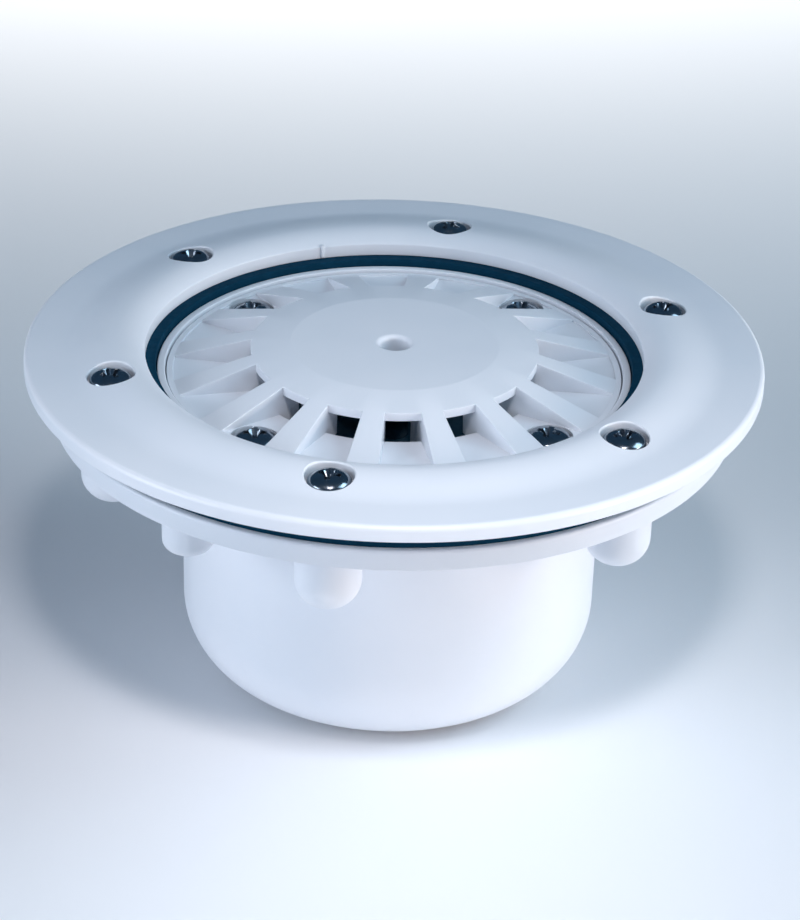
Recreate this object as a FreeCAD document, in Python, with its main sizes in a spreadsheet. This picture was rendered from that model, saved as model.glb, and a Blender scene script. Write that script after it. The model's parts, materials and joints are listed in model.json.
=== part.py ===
"""Floor inlet of a liner pool: a pot with a flange, a clamping ring and a ribbed diffuser.

Lengths are in millimetres and angles in degrees. The Z axis is the axis of the pot,
and the origin lies in the middle of its flat bottom. One pocket of the diffuser points
along each of +X, +Y, -X and -Y.
"""
import math
import os
import re

import FreeCAD, Part
import Sketcher

# Every size that can be set by itself: name, value and what it measures.
SIZES = {
    # Pot and lower flange
    "pot_radius": (53.5, "outside of the pot"),
    "pot_wall": (3.5, "wall and floor of the pot"),
    "floor_flat": (4.55, "flat floor between the socket and the pot's large rounding"),
    "flange_height": (80.0, "upper face of the lower flange over the floor"),
    "flange_thickness": (3.6, "plate of the lower flange"),
    "flange_margin": (13.25, "lower flange outside the circle of the flange screws"),
    "skirt_depth": (5.3, "turned down edge of the lower flange"),
    "skirt_width": (3.0, "wall of that edge"),
    "edge_round": (0.8, "small rounding of moulded edges"),
    "seat_depth": (1.0, "seat of the diffuser below the flange"),
    "seat_floor": (3.5, "material under the seat"),
    "seat_step": (4.05, "seat outside the pot"),
    "seat_wall": (4.0, "thick ring round the seat"),
    "rim_width": (2.05, "upstanding rim round the seat"),
    "rim_height": (4.25, "rim over the lower flange"),
    # Pipe socket in the floor
    "pipe_radius": (25.0, "pressure pipe of 50 mm"),
    "pipe_play": (0.15, "glue gap round the pipe"),
    "socket_depth": (31.0, "how far the pipe goes in"),
    "socket_wall": (3.8, "wall of the socket"),
    "stop_height": (3.0, "stop ring over the pipe's end"),
    "stop_width": (2.6, "step of the stop ring"),
    # Screws of the clamping flange, their bosses and inserts
    "screw_step": (10.25, "circle of the flange screws outside the opening"),
    "screw_count": (6, "number of flange screws"),
    "screw_phase": (15.0, "angle of the first flange screw"),
    "screw_radius": (2.5, "shank"),
    "screw_length": (24.0, "shank below the head"),
    "screw_head_radius": (5.3, "pan head"),
    "screw_head_height": (3.3, "pan head"),
    "screw_play": (0.4, "play of every screw in its hole"),
    "boss_radius": (8.0, "round bosses under the lower flange"),
    "boss_spare": (3.1, "blind holes of the bosses below the screws' points"),
    "boss_floor": (4.5, "material under these holes"),
    "boss_round": (7.2, "rounding of the bosses' lower end"),
    "insert_radius": (3.6, "outside of the brass inserts"),
    "insert_length": (9.0, "length of the brass inserts"),
    "insert_sink": (0.3, "every insert below the face around it"),
    "fit": (0.05, "radial clearance of a close fit"),
    "lug_radius": (6.3, "plain lugs between the bosses"),
    "lug_length": (18.8, "end of the lugs below the flange's upper face"),
    "lug_round": (3.0, "rounding of the lugs' lower end"),
    "lug_count": (3, "number of lugs"),
    "lug_phase": (105.0, "angle of the first lug"),
    # Clamping flange and gaskets
    "gasket_thickness": (3.0, "each of the two gaskets"),
    "gasket_inset": (1.5, "gaskets inside the edge of the lower flange"),
    "gasket_margin": (2.65, "gasket that shows inside the opening"),
    "gasket_play": (0.25, "gap between the gaskets and the rim"),
    "ring_overhang": (6.5, "clamping flange outside the lower flange"),
    "ring_thickness": (4.0, "clamping flange at its edge"),
    "ring_round": (1.4, "upper edge of the clamping flange"),
    "bead_width": (20.5, "lip from the opening to where it starts to rise"),
    "bead_run": (7.0, "highest line of the lip outside the opening"),
    "bead_height": (1.9, "lip over the flat of the flange"),
    "bead_nose": (2.6, "fall from the crest to the wall of the opening"),
    "recess_radius": (5.85, "recesses of the flange screws"),
    "recess_floor": (2.6, "material under the recesses"),
    "recess_round": (0.5, "softened mouth of the recesses"),
    # Diffuser, with heights over its seat
    "plate_play": (0.3, "gap between the diffuser and the rim"),
    "plate_edge": (4.4, "height of the diffuser's edge"),
    "plate_margin": (1.4, "flat of that edge"),
    "cap_step": (14.0, "rim of the cap inside the circle of the diffuser screws"),
    "cap_rise": (10.3, "height of the cap's rim"),
    "cap_thickness": (2.3, "cap at its rim"),
    "cap_slope": (10.0, "width of the cone between the cap's rim and its flat middle"),
    "plateau_rise": (1.1, "flat middle over the cap's rim"),
    "eye_radius": (3.8, "hole in the middle of the cap"),
    "eye_round": (1.2, "rounded mouth of that hole"),
    "pocket_count": (16, "pockets between the ribs"),
    "pocket_angle": (13.9, "angle that a pocket spans"),
    "pocket_margin": (0.25, "end of the pockets inside the flat of the edge"),
    "pocket_end_rise": (3.95, "height of the pocket's floor there"),
    "throat_step": (0.8, "inner edge of the pocket's floor outside the cap"),
    "throat_rise": (3.0, "height of that edge"),
    "rib_root": (5.2, "ribs that run on under the cap"),
    # Screws of the diffuser, their bosses and inserts
    "pin_step": (3.3, "circle of the diffuser screws inside the pot's outside"),
    "pin_count": (4, "number of diffuser screws"),
    "pin_phase": (45.0, "angle of the first diffuser screw"),
    "pin_radius": (2.1, "shank"),
    "pin_length": (14.0, "shank below the head"),
    "pin_head_radius": (5.5, "pan head"),
    "pin_head_height": (3.0, "pan head"),
    "pin_recess_radius": (5.95, "recesses in four of the pockets"),
    "pin_recess_floor": (2.1, "material under these recesses"),
    "pin_boss_radius": (6.0, "bosses on the wall of the pot"),
    "pin_boss_length": (17.0, "end of these bosses below the seat"),
    "pin_hole_depth": (14.0, "blind holes in these bosses"),
    "pin_insert_radius": (3.1, "outside of the brass inserts"),
    "pin_insert_length": (7.0, "length of the brass inserts"),
    # Flow regulator
    "hub_radius": (12.5, "hub under the cap"),
    "hub_length": (9.0, "hub below the cap"),
    "collar_radius": (6.6, "collar of the spindle"),
    "collar_height": (2.2, "collar of the spindle"),
    "collar_play": (0.1, "clearance over and under the collar"),
    "collar_gap": (0.2, "clearance round the collar"),
    "journal_play": (0.07, "running fit of the spindle in the hub"),
    "spindle_sink": (6.0, "upper end of the spindle below the cap's face"),
    "spindle_reach": (30.0, "spindle below the hub"),
    "thread_radius": (4.0, "outside of the spindle's thread"),
    "thread_play": (0.08, "running fit of the thread"),
    "point_chamfer": (0.6, "chamfer on the ends of screws and spindle"),
    "key_width": (4.0, "hexagon socket of the spindle, across flats"),
    "key_depth": (3.0, "depth of that socket"),
    "washer_thickness": (1.6, "retaining washer under the hub"),
    "stud_circle": (9.7, "pitch radius of the washer's screws"),
    "stud_count": (2, "number of the washer's screws"),
    "stud_phase": (45.0, "angle of the first of them"),
    "stud_radius": (1.45, "shank"),
    "stud_length": (7.5, "shank below the head"),
    "stud_head_radius": (2.6, "pan head"),
    "stud_head_height": (1.6, "pan head"),
    "post_radius": (2.5, "guide posts under the cap"),
    "post_step": (9.0, "circle of the guide posts outside the hub"),
    "post_count": (3, "number of guide posts"),
    "post_phase": (45.0, "angle of the first guide post"),
    "post_reach": (7.0, "guide posts below the disc with the flow fully open"),
    "post_play": (0.1, "running fit of the disc on the posts"),
    "disc_gap": (4.2, "throttle disc clear of the bosses on the pot's wall"),
    "disc_opening": (9.0, "disc below the seat with the flow fully open"),
    "disc_thickness": (4.0, "throttle disc"),
    "disc_chamfer": (1.5, "lower edge of the disc"),
    "cup_radius": (14.2, "recess in the disc that clears the washer"),
    "cup_depth": (5.0, "depth of that recess"),
    "cup_wall": (2.6, "wall and floor of the recess"),
    "nut_radius": (9.0, "threaded hub of the disc"),
    "nut_length": (20.0, "end of that hub below the disc's face"),
    # Modelling
    "overlap": (0.5, "pads run into a face and cuts past it by this much"),
}

doc = FreeCAD.newDocument("FloorInlet")
sheet = doc.addObject("Spreadsheet::Sheet", "Sizes")
for row, (name, (number, meaning)) in enumerate(SIZES.items(), start=1):
    sheet.set(f"A{row}", name)
    sheet.set(f"B{row}", str(number))
    sheet.set(f"C{row}", meaning)
    sheet.setAlias(f"B{row}", name)
doc.recompute()


# How a size or a sum of sizes, such as "pot_radius - pot_wall / 2", is read

def value(text):
    """Number that a sum of sizes gives, for the first position of a sketch's geometry."""
    total = 0.0
    for term in text.replace(" - ", " + -").split(" + "):
        product = 1.0
        for factor in term.replace(" / ", " * /").split(" * "):
            name = factor.lstrip("-/")
            number = SIZES[name][0] if name in SIZES else float(name)
            product = product / number if factor.startswith("/") else product * number
        total += -product if term.startswith("-") else product
    return total


def formula(text):
    """The same sum as an expression on the sheet's cells."""
    return re.sub(r"[a-z_]{3,}", lambda name: "Sizes." + name.group(), text)


# Sketches and features

def origin_part(body, role):
    """One of the body's own origin planes or axes."""
    for feature in body.Origin.OriginFeatures:
        if feature.Role == role:
            return feature
    raise ValueError(role)


def new_body(label):
    """Empty body for one moulded, turned or cut piece."""
    body = doc.addObject("PartDesign::Body", label)
    body.Label = label
    return body


def new_sketch(body, label, plane, height=None):
    """Sketch on an origin plane, or at a height over the XY plane."""
    sketch = body.newObject("Sketcher::SketchObject", label)
    sketch.AttachmentSupport = [(origin_part(body, plane), "")]
    sketch.MapMode = "FlatFace"
    if height:
        sketch.setExpression("AttachmentOffset.Base.z", formula(height))
    return sketch


def bind(sketch, kind, *items):
    """Dimension in a sketch, with its last item a sum of sizes."""
    number = value(items[-1])
    if kind == "Angle":
        number = math.radians(number)
    index = sketch.addConstraint(Sketcher.Constraint(kind, *items[:-1], number))
    sketch.setExpression(f"Constraints[{index}]", formula(items[-1]))


def tangent_arc(start, end, direction):
    """Arc from start to end that leaves start in a direction, and whether it turns left."""
    left = FreeCAD.Vector(-direction.y, direction.x, 0)
    chord = end - start
    reach = chord.dot(chord) / (2 * left.dot(chord))
    centre = start + left * reach
    circle = Part.Circle(centre, FreeCAD.Vector(0, 0, 1), abs(reach))
    first, last = (start, end) if reach > 0 else (end, start)
    angles = [math.atan2(point.y - centre.y, point.x - centre.x) for point in (first, last)]
    if angles[1] < angles[0]:
        angles[1] += 2 * math.pi
    leaving = FreeCAD.Vector(centre.y - end.y, end.x - centre.x, 0) / abs(reach)
    return Part.ArcOfCircle(circle, *angles), reach > 0, leaving if reach > 0 else -leaving


def draw_outline(sketch, corners):
    """Closed outline: corners of (radius, height), with "arc" where a tangent arc leaves."""
    points = [FreeCAD.Vector(value(corner[0]), value(corner[1]), 0) for corner in corners]
    ends = []
    direction = FreeCAD.Vector(1, 0, 0)
    for corner, start, end in zip(corners, points, points[1:] + points[:1]):
        if len(corner) == 3:
            arc, turns_left, direction = tangent_arc(start, end, direction)
            geometry = sketch.addGeometry(arc, False)
            ends.append((geometry, 1, 2) if turns_left else (geometry, 2, 1))
        else:
            geometry = sketch.addGeometry(Part.LineSegment(start, end), False)
            direction = (end - start).normalize()
            ends.append((geometry, 1, 2))
    for number, corner in enumerate(corners):
        before, _, before_end = ends[number - 1]
        here, here_start, _ = ends[number]
        joint = "Tangent" if len(corner) == 3 else "Coincident"
        sketch.addConstraint(Sketcher.Constraint(joint, before, before_end, here, here_start))
        for kind, axis, text in (("DistanceX", -2, corner[0]), ("DistanceY", -1, corner[1])):
            if text == "0":
                sketch.addConstraint(Sketcher.Constraint("PointOnObject", here, here_start, axis))
            else:
                bind(sketch, kind, -1, 1, here, here_start, text)
    return sketch


def revolve(body, label, corners, cut_angle=None):
    """Turned solid from an outline, or with an angle the cut of a sector of it."""
    sketch = draw_outline(new_sketch(body, label + "Outline", "XZ_Plane"), corners)
    kind = "PartDesign::Groove" if cut_angle else "PartDesign::Revolution"
    turned = body.newObject(kind, label)
    turned.Profile = sketch
    turned.ReferenceAxis = (sketch, ["V_Axis"])
    turned.Angle = 360
    if cut_angle:
        turned.Midplane = True
        turned.setExpression("Angle", formula(cut_angle))
    sketch.Visibility = False
    return turned


def draw_circle(sketch, radius, pitch=None, phase=None):
    """Circle about the axis, or on a pitch circle at an angle."""
    spot = FreeCAD.Vector(0, 0, 0)
    if pitch:
        angle = math.radians(value(phase))
        spot = FreeCAD.Vector(math.cos(angle), math.sin(angle), 0) * value(pitch)
    circle = sketch.addGeometry(Part.Circle(spot, FreeCAD.Vector(0, 0, 1), value(radius)), False)
    bind(sketch, "Radius", circle, radius)
    if not pitch:
        sketch.addConstraint(Sketcher.Constraint("Coincident", circle, 3, -1, 1))
        return
    spoke = sketch.addGeometry(Part.LineSegment(FreeCAD.Vector(0, 0, 0), spot), True)
    sketch.addConstraint(Sketcher.Constraint("Coincident", spoke, 1, -1, 1))
    sketch.addConstraint(Sketcher.Constraint("Coincident", spoke, 2, circle, 3))
    bind(sketch, "Distance", spoke, pitch)
    bind(sketch, "Angle", spoke, phase)


def draw_closed(sketch, points):
    """Closed run of lines through fixed first positions, returned as their numbers."""
    lines = []
    for start, end in zip(points, points[1:] + points[:1]):
        lines.append(sketch.addGeometry(Part.LineSegment(start, end), False))
    for before, here in zip(lines[-1:] + lines[:-1], lines):
        sketch.addConstraint(Sketcher.Constraint("Coincident", before, 2, here, 1))
    return lines


def draw_hexagon(sketch, width):
    """Regular hexagon about the axis, across flats, with a corner on the X axis."""
    reach = width + " / 1.7320508"
    middle = FreeCAD.Vector(0, 0, 0)
    turns = [math.radians(60 * number) for number in range(6)]
    points = [FreeCAD.Vector(math.cos(turn), math.sin(turn), 0) * value(reach) for turn in turns]
    lines = draw_closed(sketch, points)
    round_it = Part.Circle(middle, FreeCAD.Vector(0, 0, 1), value(reach))
    circle = sketch.addGeometry(round_it, True)
    sketch.addConstraint(Sketcher.Constraint("Coincident", circle, 3, -1, 1))
    bind(sketch, "Radius", circle, reach)
    for line in lines:
        sketch.addConstraint(Sketcher.Constraint("PointOnObject", line, 1, circle))
    for line in lines[1:-1]:
        sketch.addConstraint(Sketcher.Constraint("Equal", lines[0], line))
    sketch.addConstraint(Sketcher.Constraint("PointOnObject", lines[0], 1, -1))


def draw_cross(sketch, reach, half):
    """Cross of two equal bars about the axis: half its length and half its width."""
    signs = [(1, 1), (-1, 1), (-1, -1), (1, -1)]
    corners = []
    for number, (right, up) in enumerate(signs):
        quarter = [(reach, half), (half, half), (half, reach)]
        for across, along in quarter if number % 2 == 0 else quarter[::-1]:
            x = across if right > 0 else f"0 - {across}"
            y = along if up > 0 else f"0 - {along}"
            corners.append((x, y))
    draw_outline(sketch, corners)


def extrude(body, label, sketch, top, bottom, cut=False):
    """Pad that rises from a sketch, or pocket that goes down from it, between two heights."""
    feature = body.newObject("PartDesign::Pocket" if cut else "PartDesign::Pad", label)
    feature.Profile = sketch
    feature.Length = value(top) - value(bottom)
    feature.setExpression("Length", f"({formula(top)}) - ({formula(bottom)})")
    sketch.Visibility = False
    return feature


def repeat(body, label, feature, count):
    """The feature spread evenly round the Z axis."""
    pattern = body.newObject("PartDesign::PolarPattern", label)
    pattern.Originals = [feature]
    pattern.Axis = (origin_part(body, "Z_Axis"), [""])
    pattern.Angle = 360
    pattern.Occurrences = int(value(count))
    pattern.setExpression("Occurrences", formula(count))
    body.Tip = pattern
    return pattern


def ring_of(body, label, place, radius, top, bottom, cut=False):
    """Round bosses or holes on a pitch circle, between two heights."""
    pitch, phase, count = place
    sketch = new_sketch(body, label + "Circle", "XY_Plane", top if cut else bottom)
    draw_circle(sketch, radius, pitch, phase)
    first = extrude(body, label + "First", sketch, top, bottom, cut)
    return repeat(body, label, first, count)


def round_edges(body, label, radius, chosen):
    """Fillet on the edges of the body so far for which a test holds."""
    doc.recompute()
    base = body.Tip
    edges = enumerate(base.Shape.Edges, start=1)
    names = [f"Edge{number}" for number, edge in edges if chosen(edge)]
    fillet = body.newObject("PartDesign::Fillet", label)
    fillet.Base = (base, names)
    fillet.setExpression("Radius", formula(radius))
    return fillet


def circle_at(radius, height):
    """Test for full circles of a radius at a height."""
    def chosen(edge):
        curve = edge.Curve
        return (isinstance(curve, Part.Circle) and abs(curve.Radius - value(radius)) < 1e-4
                and abs(edge.CenterOfMass.z - value(height)) < 1e-4)
    return chosen


def hole_mouth(place, radius, height):
    """Test for the edges above a height that run round the holes of a pitch circle."""
    pitch, phase, count = (value(text) for text in place)

    def chosen(edge):
        for index in range(int(count)):
            angle = math.radians(phase + index * 360 / count)
            axis = FreeCAD.Vector(math.cos(angle), math.sin(angle), 0) * pitch
            points = [vertex.Point - axis for vertex in edge.Vertexes]
            if max(abs(math.hypot(spot.x, spot.y) - value(radius)) for spot in points) < 1e-3:
                return min(spot.z for spot in points) > value(height) + 1e-3
        return False
    return chosen


def place_on_circle(body, place, index, height):
    """Body moved from the axis to one of the places on a pitch circle."""
    pitch, phase, count = (formula(text) for text in place)
    angle = f"({phase} + {index} * 360 / {count}) * 1deg"
    body.setExpression("Placement.Base.x", f"({pitch}) * cos({angle})")
    body.setExpression("Placement.Base.y", f"({pitch}) * sin({angle})")
    body.setExpression("Placement.Base.z", formula(height))


# Heights, radii and pitch circles that several pieces share
PIPE_HOLE = "pipe_radius + pipe_play"
SOCKET_OUTSIDE = PIPE_HOLE + " + socket_wall"
POT_FLAT = SOCKET_OUTSIDE + " + floor_flat"
POT_ROUND = "pot_radius - pipe_radius - pipe_play - socket_wall - floor_flat"
SEAT_RADIUS = "pot_radius + seat_step"
RIM_RADIUS = SEAT_RADIUS + " + rim_width"
GASKET_INSIDE = RIM_RADIUS + " + gasket_play"
OPENING = GASKET_INSIDE + " + gasket_margin"
SCREW_CIRCLE = OPENING + " + screw_step"
FLANGE_RADIUS = SCREW_CIRCLE + " + flange_margin"
RING_RADIUS = FLANGE_RADIUS + " + ring_overhang"
PIN_CIRCLE = "pot_radius - pin_step"
CAP_RADIUS = PIN_CIRCLE + " - cap_step"
THROAT_RADIUS = CAP_RADIUS + " + throat_step"
RIB_FOOT = CAP_RADIUS + " - rib_root"
PLATE_RADIUS = SEAT_RADIUS + " - plate_play"
POCKET_END = PLATE_RADIUS + " - plate_margin - pocket_margin"
DISC_RADIUS = PIN_CIRCLE + " - pin_boss_radius - disc_gap"
BOSSES = (SCREW_CIRCLE, "screw_phase", "screw_count")
LUGS = (SCREW_CIRCLE, "lug_phase", "lug_count")
PINS = (PIN_CIRCLE, "pin_phase", "pin_count")
STUDS = ("stud_circle", "stud_phase", "stud_count")
POSTS = ("hub_radius + post_step", "post_phase", "post_count")
PLATE_UNDERSIDE = "flange_height - flange_thickness"
SEAT = "flange_height - seat_depth"
RING_UNDERSIDE = "flange_height + 2 * gasket_thickness"
RING_TOP = RING_UNDERSIDE + " + ring_thickness"
CREST = RING_TOP + " + bead_height"
RECESS_FLOOR = RING_UNDERSIDE + " + recess_floor"
BOSS_HOLE_END = RECESS_FLOOR + " - screw_length - boss_spare"
BOSS_END = BOSS_HOLE_END + " - boss_floor"
LUG_END = "flange_height - lug_length"
PIN_RECESS_FLOOR = SEAT + " + pin_recess_floor"
CAP_RIM = SEAT + " + cap_rise"
CAP_TOP = CAP_RIM + " + plateau_rise"
CAP_UNDERSIDE = CAP_RIM + " - cap_thickness"
HUB_END = CAP_UNDERSIDE + " - hub_length"
COLLAR_FOOT = HUB_END + " + collar_play"
COLLAR_TOP = COLLAR_FOOT + " + collar_height"
WASHER_UNDERSIDE = HUB_END + " - washer_thickness"
DISC_TOP = SEAT + " - disc_opening"
DISC_UNDERSIDE = DISC_TOP + " - disc_thickness"
CUP_FLOOR = DISC_TOP + " - cup_depth"
POST_END = DISC_UNDERSIDE + " - post_reach"
SPINDLE_END = HUB_END + " - spindle_reach"
SPINDLE_TOP = CAP_TOP + " - spindle_sink"


# Inlet body: pot, pipe socket, seat, rim and lower flange in one moulding
inlet_body = new_body("inlet_body")
revolve(inlet_body, "Pot", [
    (PIPE_HOLE, "0"),
    (POT_FLAT, "0", "arc"),
    ("pot_radius", POT_ROUND),
    ("pot_radius", SEAT + " - seat_floor"),
    (SEAT_RADIUS + " + seat_wall", SEAT + " - seat_floor"),
    (SEAT_RADIUS + " + seat_wall", PLATE_UNDERSIDE),
    (FLANGE_RADIUS + " - skirt_width", PLATE_UNDERSIDE),
    (FLANGE_RADIUS + " - skirt_width", "flange_height - skirt_depth"),
    (FLANGE_RADIUS, "flange_height - skirt_depth"),
    (FLANGE_RADIUS, "flange_height - edge_round", "arc"),
    (FLANGE_RADIUS + " - edge_round", "flange_height"),
    (RIM_RADIUS, "flange_height"),
    (RIM_RADIUS, "flange_height + rim_height"),
    (SEAT_RADIUS, "flange_height + rim_height"),
    (SEAT_RADIUS, SEAT),
    ("pot_radius - pot_wall", SEAT),
    ("pot_radius - pot_wall", POT_ROUND, "arc"),
    (POT_FLAT, "pot_wall"),
    (SOCKET_OUTSIDE, "pot_wall"),
    (SOCKET_OUTSIDE, "socket_depth + stop_height"),
    (PIPE_HOLE + " - stop_width", "socket_depth + stop_height"),
    (PIPE_HOLE + " - stop_width", "socket_depth"),
    (PIPE_HOLE, "socket_depth"),
])
PLATE_ROOT = PLATE_UNDERSIDE + " + overlap"
ring_of(inlet_body, "Boss", BOSSES, "boss_radius", PLATE_ROOT, BOSS_END)
ring_of(inlet_body, "Lug", LUGS, "lug_radius", PLATE_ROOT, LUG_END)
ring_of(inlet_body, "PinBoss", PINS, "pin_boss_radius", SEAT, SEAT + " - pin_boss_length")
round_edges(inlet_body, "BossDome", "boss_round", circle_at("boss_radius", BOSS_END))
round_edges(inlet_body, "LugDome", "lug_round", circle_at("lug_radius", LUG_END))
for label, place, kind, screw_kind, face, hole_end in (
    ("Boss", BOSSES, "insert", "screw", "flange_height", BOSS_HOLE_END),
    ("PinBoss", PINS, "pin_insert", "pin", SEAT, SEAT + " - pin_hole_depth"),
):
    insert_end = f"{face} - insert_sink - {kind}_length"
    ring_of(inlet_body, label + "Insert", place, kind + "_radius + fit", face, insert_end, cut=True)
    bore = screw_kind + "_radius + screw_play"
    ring_of(inlet_body, label + "Bore", place, bore, face, hole_end, cut=True)


# Gaskets above and below the pool liner
def gasket(label, foot):
    """Flat sealing ring with six screw holes, from a height upwards."""
    body = new_body(label)
    top = foot + " + gasket_thickness"
    revolve(body, label + "_section", [
        (GASKET_INSIDE, foot),
        (FLANGE_RADIUS + " - gasket_inset", foot),
        (FLANGE_RADIUS + " - gasket_inset", top),
        (GASKET_INSIDE, top),
    ])
    ring_of(body, label + "_hole", BOSSES, "screw_radius + screw_play", top, foot, cut=True)
    return body


liner_gasket_lower = gasket("liner_gasket_lower", "flange_height")
liner_gasket_upper = gasket("liner_gasket_upper", "flange_height + gasket_thickness")


# Clamping flange: flat ring with a rounded lip round its opening
clamping_flange = new_body("clamping_flange")
revolve(clamping_flange, "Ring", [
    (OPENING, RING_UNDERSIDE),
    (RING_RADIUS, RING_UNDERSIDE),
    (RING_RADIUS, RING_TOP + " - ring_round", "arc"),
    (RING_RADIUS + " - ring_round", RING_TOP),
    (OPENING + " + bead_width", RING_TOP, "arc"),
    (OPENING + " + bead_width / 2 + bead_run / 2", RING_TOP + " + bead_height / 2", "arc"),
    (OPENING + " + bead_run", CREST, "arc"),
    (OPENING, CREST + " - bead_nose"),
])
ring_of(clamping_flange, "Recess", BOSSES, "recess_radius", CREST, RECESS_FLOOR, cut=True)
mouth = hole_mouth(BOSSES, "recess_radius", RECESS_FLOOR)
round_edges(clamping_flange, "RecessMouth", "recess_round", mouth)
shank_hole = "screw_radius + screw_play"
ring_of(clamping_flange, "ScrewHole", BOSSES, shank_hole, CREST, RING_UNDERSIDE, cut=True)


# Diffuser: cap, hub, guide posts, sixteen ribs and the plate under them in one moulding
diffuser_plate = new_body("diffuser_plate")
revolve(diffuser_plate, "Cone", [
    ("collar_radius + collar_gap", HUB_END),
    ("hub_radius", HUB_END),
    ("hub_radius", CAP_UNDERSIDE),
    (RIB_FOOT, CAP_UNDERSIDE),
    (RIB_FOOT, SEAT),
    (PLATE_RADIUS, SEAT),
    (PLATE_RADIUS, SEAT + " + plate_edge"),
    (PLATE_RADIUS + " - plate_margin", SEAT + " + plate_edge"),
    (CAP_RADIUS, CAP_RIM),
    (CAP_RADIUS + " - cap_slope", CAP_TOP),
    ("eye_radius + eye_round", CAP_TOP, "arc"),
    ("eye_radius", CAP_TOP + " - eye_round"),
    ("eye_radius", COLLAR_TOP + " + collar_play"),
    ("collar_radius + collar_gap", COLLAR_TOP + " + collar_play"),
])
pocket = revolve(diffuser_plate, "Pocket", [
    (RIB_FOOT + " - overlap", SEAT + " - overlap"),
    (THROAT_RADIUS, SEAT + " - overlap"),
    (THROAT_RADIUS, SEAT + " + throat_rise"),
    (POCKET_END, SEAT + " + pocket_end_rise"),
    (POCKET_END, CAP_TOP + " + overlap"),
    (CAP_RADIUS, CAP_TOP + " + overlap"),
    (CAP_RADIUS, CAP_UNDERSIDE),
    (RIB_FOOT + " - overlap", CAP_UNDERSIDE),
], cut_angle="pocket_angle")
repeat(diffuser_plate, "Pockets", pocket, "pocket_count")
ring_of(diffuser_plate, "PinRecess", PINS, "pin_recess_radius", CAP_TOP, PIN_RECESS_FLOOR, cut=True)
ring_of(diffuser_plate, "PinHole", PINS, "pin_radius + screw_play", CAP_TOP, SEAT, cut=True)
ring_of(diffuser_plate, "Post", POSTS, "post_radius", CAP_UNDERSIDE + " + overlap", POST_END)
stud_end = HUB_END + " + stud_length"
ring_of(diffuser_plate, "StudBore", STUDS, "stud_radius + fit", stud_end, HUB_END, cut=True)


# Screws with a pan head and a cross recess, and the brass inserts that take them
def screw(label, kind, place, index, seat):
    """Screw whose head sits at a height, on one place of a pitch circle."""
    radius, length = kind + "_radius", kind + "_length"
    head_radius, head_height = kind + "_head_radius", kind + "_head_height"
    body = new_body(label)
    top = f"{length} + {head_height}"
    revolve(body, label + "_section", [
        ("0", "0"),
        (radius + " - point_chamfer", "0"),
        (radius, "point_chamfer"),
        (radius, length),
        (head_radius, length),
        (head_radius, f"{top} - {head_height} / 2", "arc"),
        (f"{head_radius} - {head_height} / 2", top),
        ("0", top),
    ])
    cross = new_sketch(body, label + "_cross", "XY_Plane", top)
    draw_cross(cross, head_radius + " / 2", head_radius + " / 9")
    extrude(body, label + "_drive", cross, top, f"{top} - {head_height} / 2", cut=True)
    place_on_circle(body, place, index, f"{seat} - {length}")
    return body


def insert(label, kind, screw_kind, place, index, face):
    """Brass insert with a turned groove, sunk a little below a face."""
    radius, length = kind + "_radius", kind + "_length"
    bore = screw_kind + "_radius + fit"
    body = new_body(label)
    revolve(body, label + "_section", [
        (bore, "0"),
        (radius, "0"),
        (radius, f"2 * {length} / 5"),
        (f"{radius} - 8 * fit", f"2 * {length} / 5"),
        (f"{radius} - 8 * fit", f"3 * {length} / 5"),
        (radius, f"3 * {length} / 5"),
        (radius, length),
        (bore, length),
    ])
    place_on_circle(body, place, index, f"{face} - insert_sink - {length}")
    return body


pieces = [inlet_body, liner_gasket_lower, liner_gasket_upper, clamping_flange, diffuser_plate]
for index in range(SIZES["screw_count"][0]):
    pieces.append(screw(f"flange_screw_{index + 1}", "screw", BOSSES, index, RECESS_FLOOR))
    pieces.append(insert(f"flange_insert_{index + 1}", "insert", "screw", BOSSES, index, "flange_height"))
for index in range(SIZES["pin_count"][0]):
    pieces.append(screw(f"diffuser_screw_{index + 1}", "pin", PINS, index, PIN_RECESS_FLOOR))
    pieces.append(insert(f"diffuser_insert_{index + 1}", "pin_insert", "pin", PINS, index, SEAT))


# Throttle disc: rises on the guide posts towards the diffuser when the spindle turns
throttle_disc = new_body("throttle_disc")
revolve(throttle_disc, "Disc", [
    ("thread_radius + thread_play", DISC_TOP + " - nut_length"),
    ("nut_radius", DISC_TOP + " - nut_length"),
    ("nut_radius", CUP_FLOOR + " - cup_wall"),
    ("cup_radius + cup_wall", CUP_FLOOR + " - cup_wall"),
    ("cup_radius + cup_wall", DISC_UNDERSIDE),
    (DISC_RADIUS + " - disc_chamfer", DISC_UNDERSIDE),
    (DISC_RADIUS, DISC_UNDERSIDE + " + disc_chamfer"),
    (DISC_RADIUS, DISC_TOP),
    ("cup_radius", DISC_TOP),
    ("cup_radius", CUP_FLOOR),
    ("thread_radius + thread_play", CUP_FLOOR),
])
guide = "post_radius + post_play"
ring_of(throttle_disc, "Guide", POSTS, guide, DISC_TOP, DISC_UNDERSIDE, cut=True)


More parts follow.
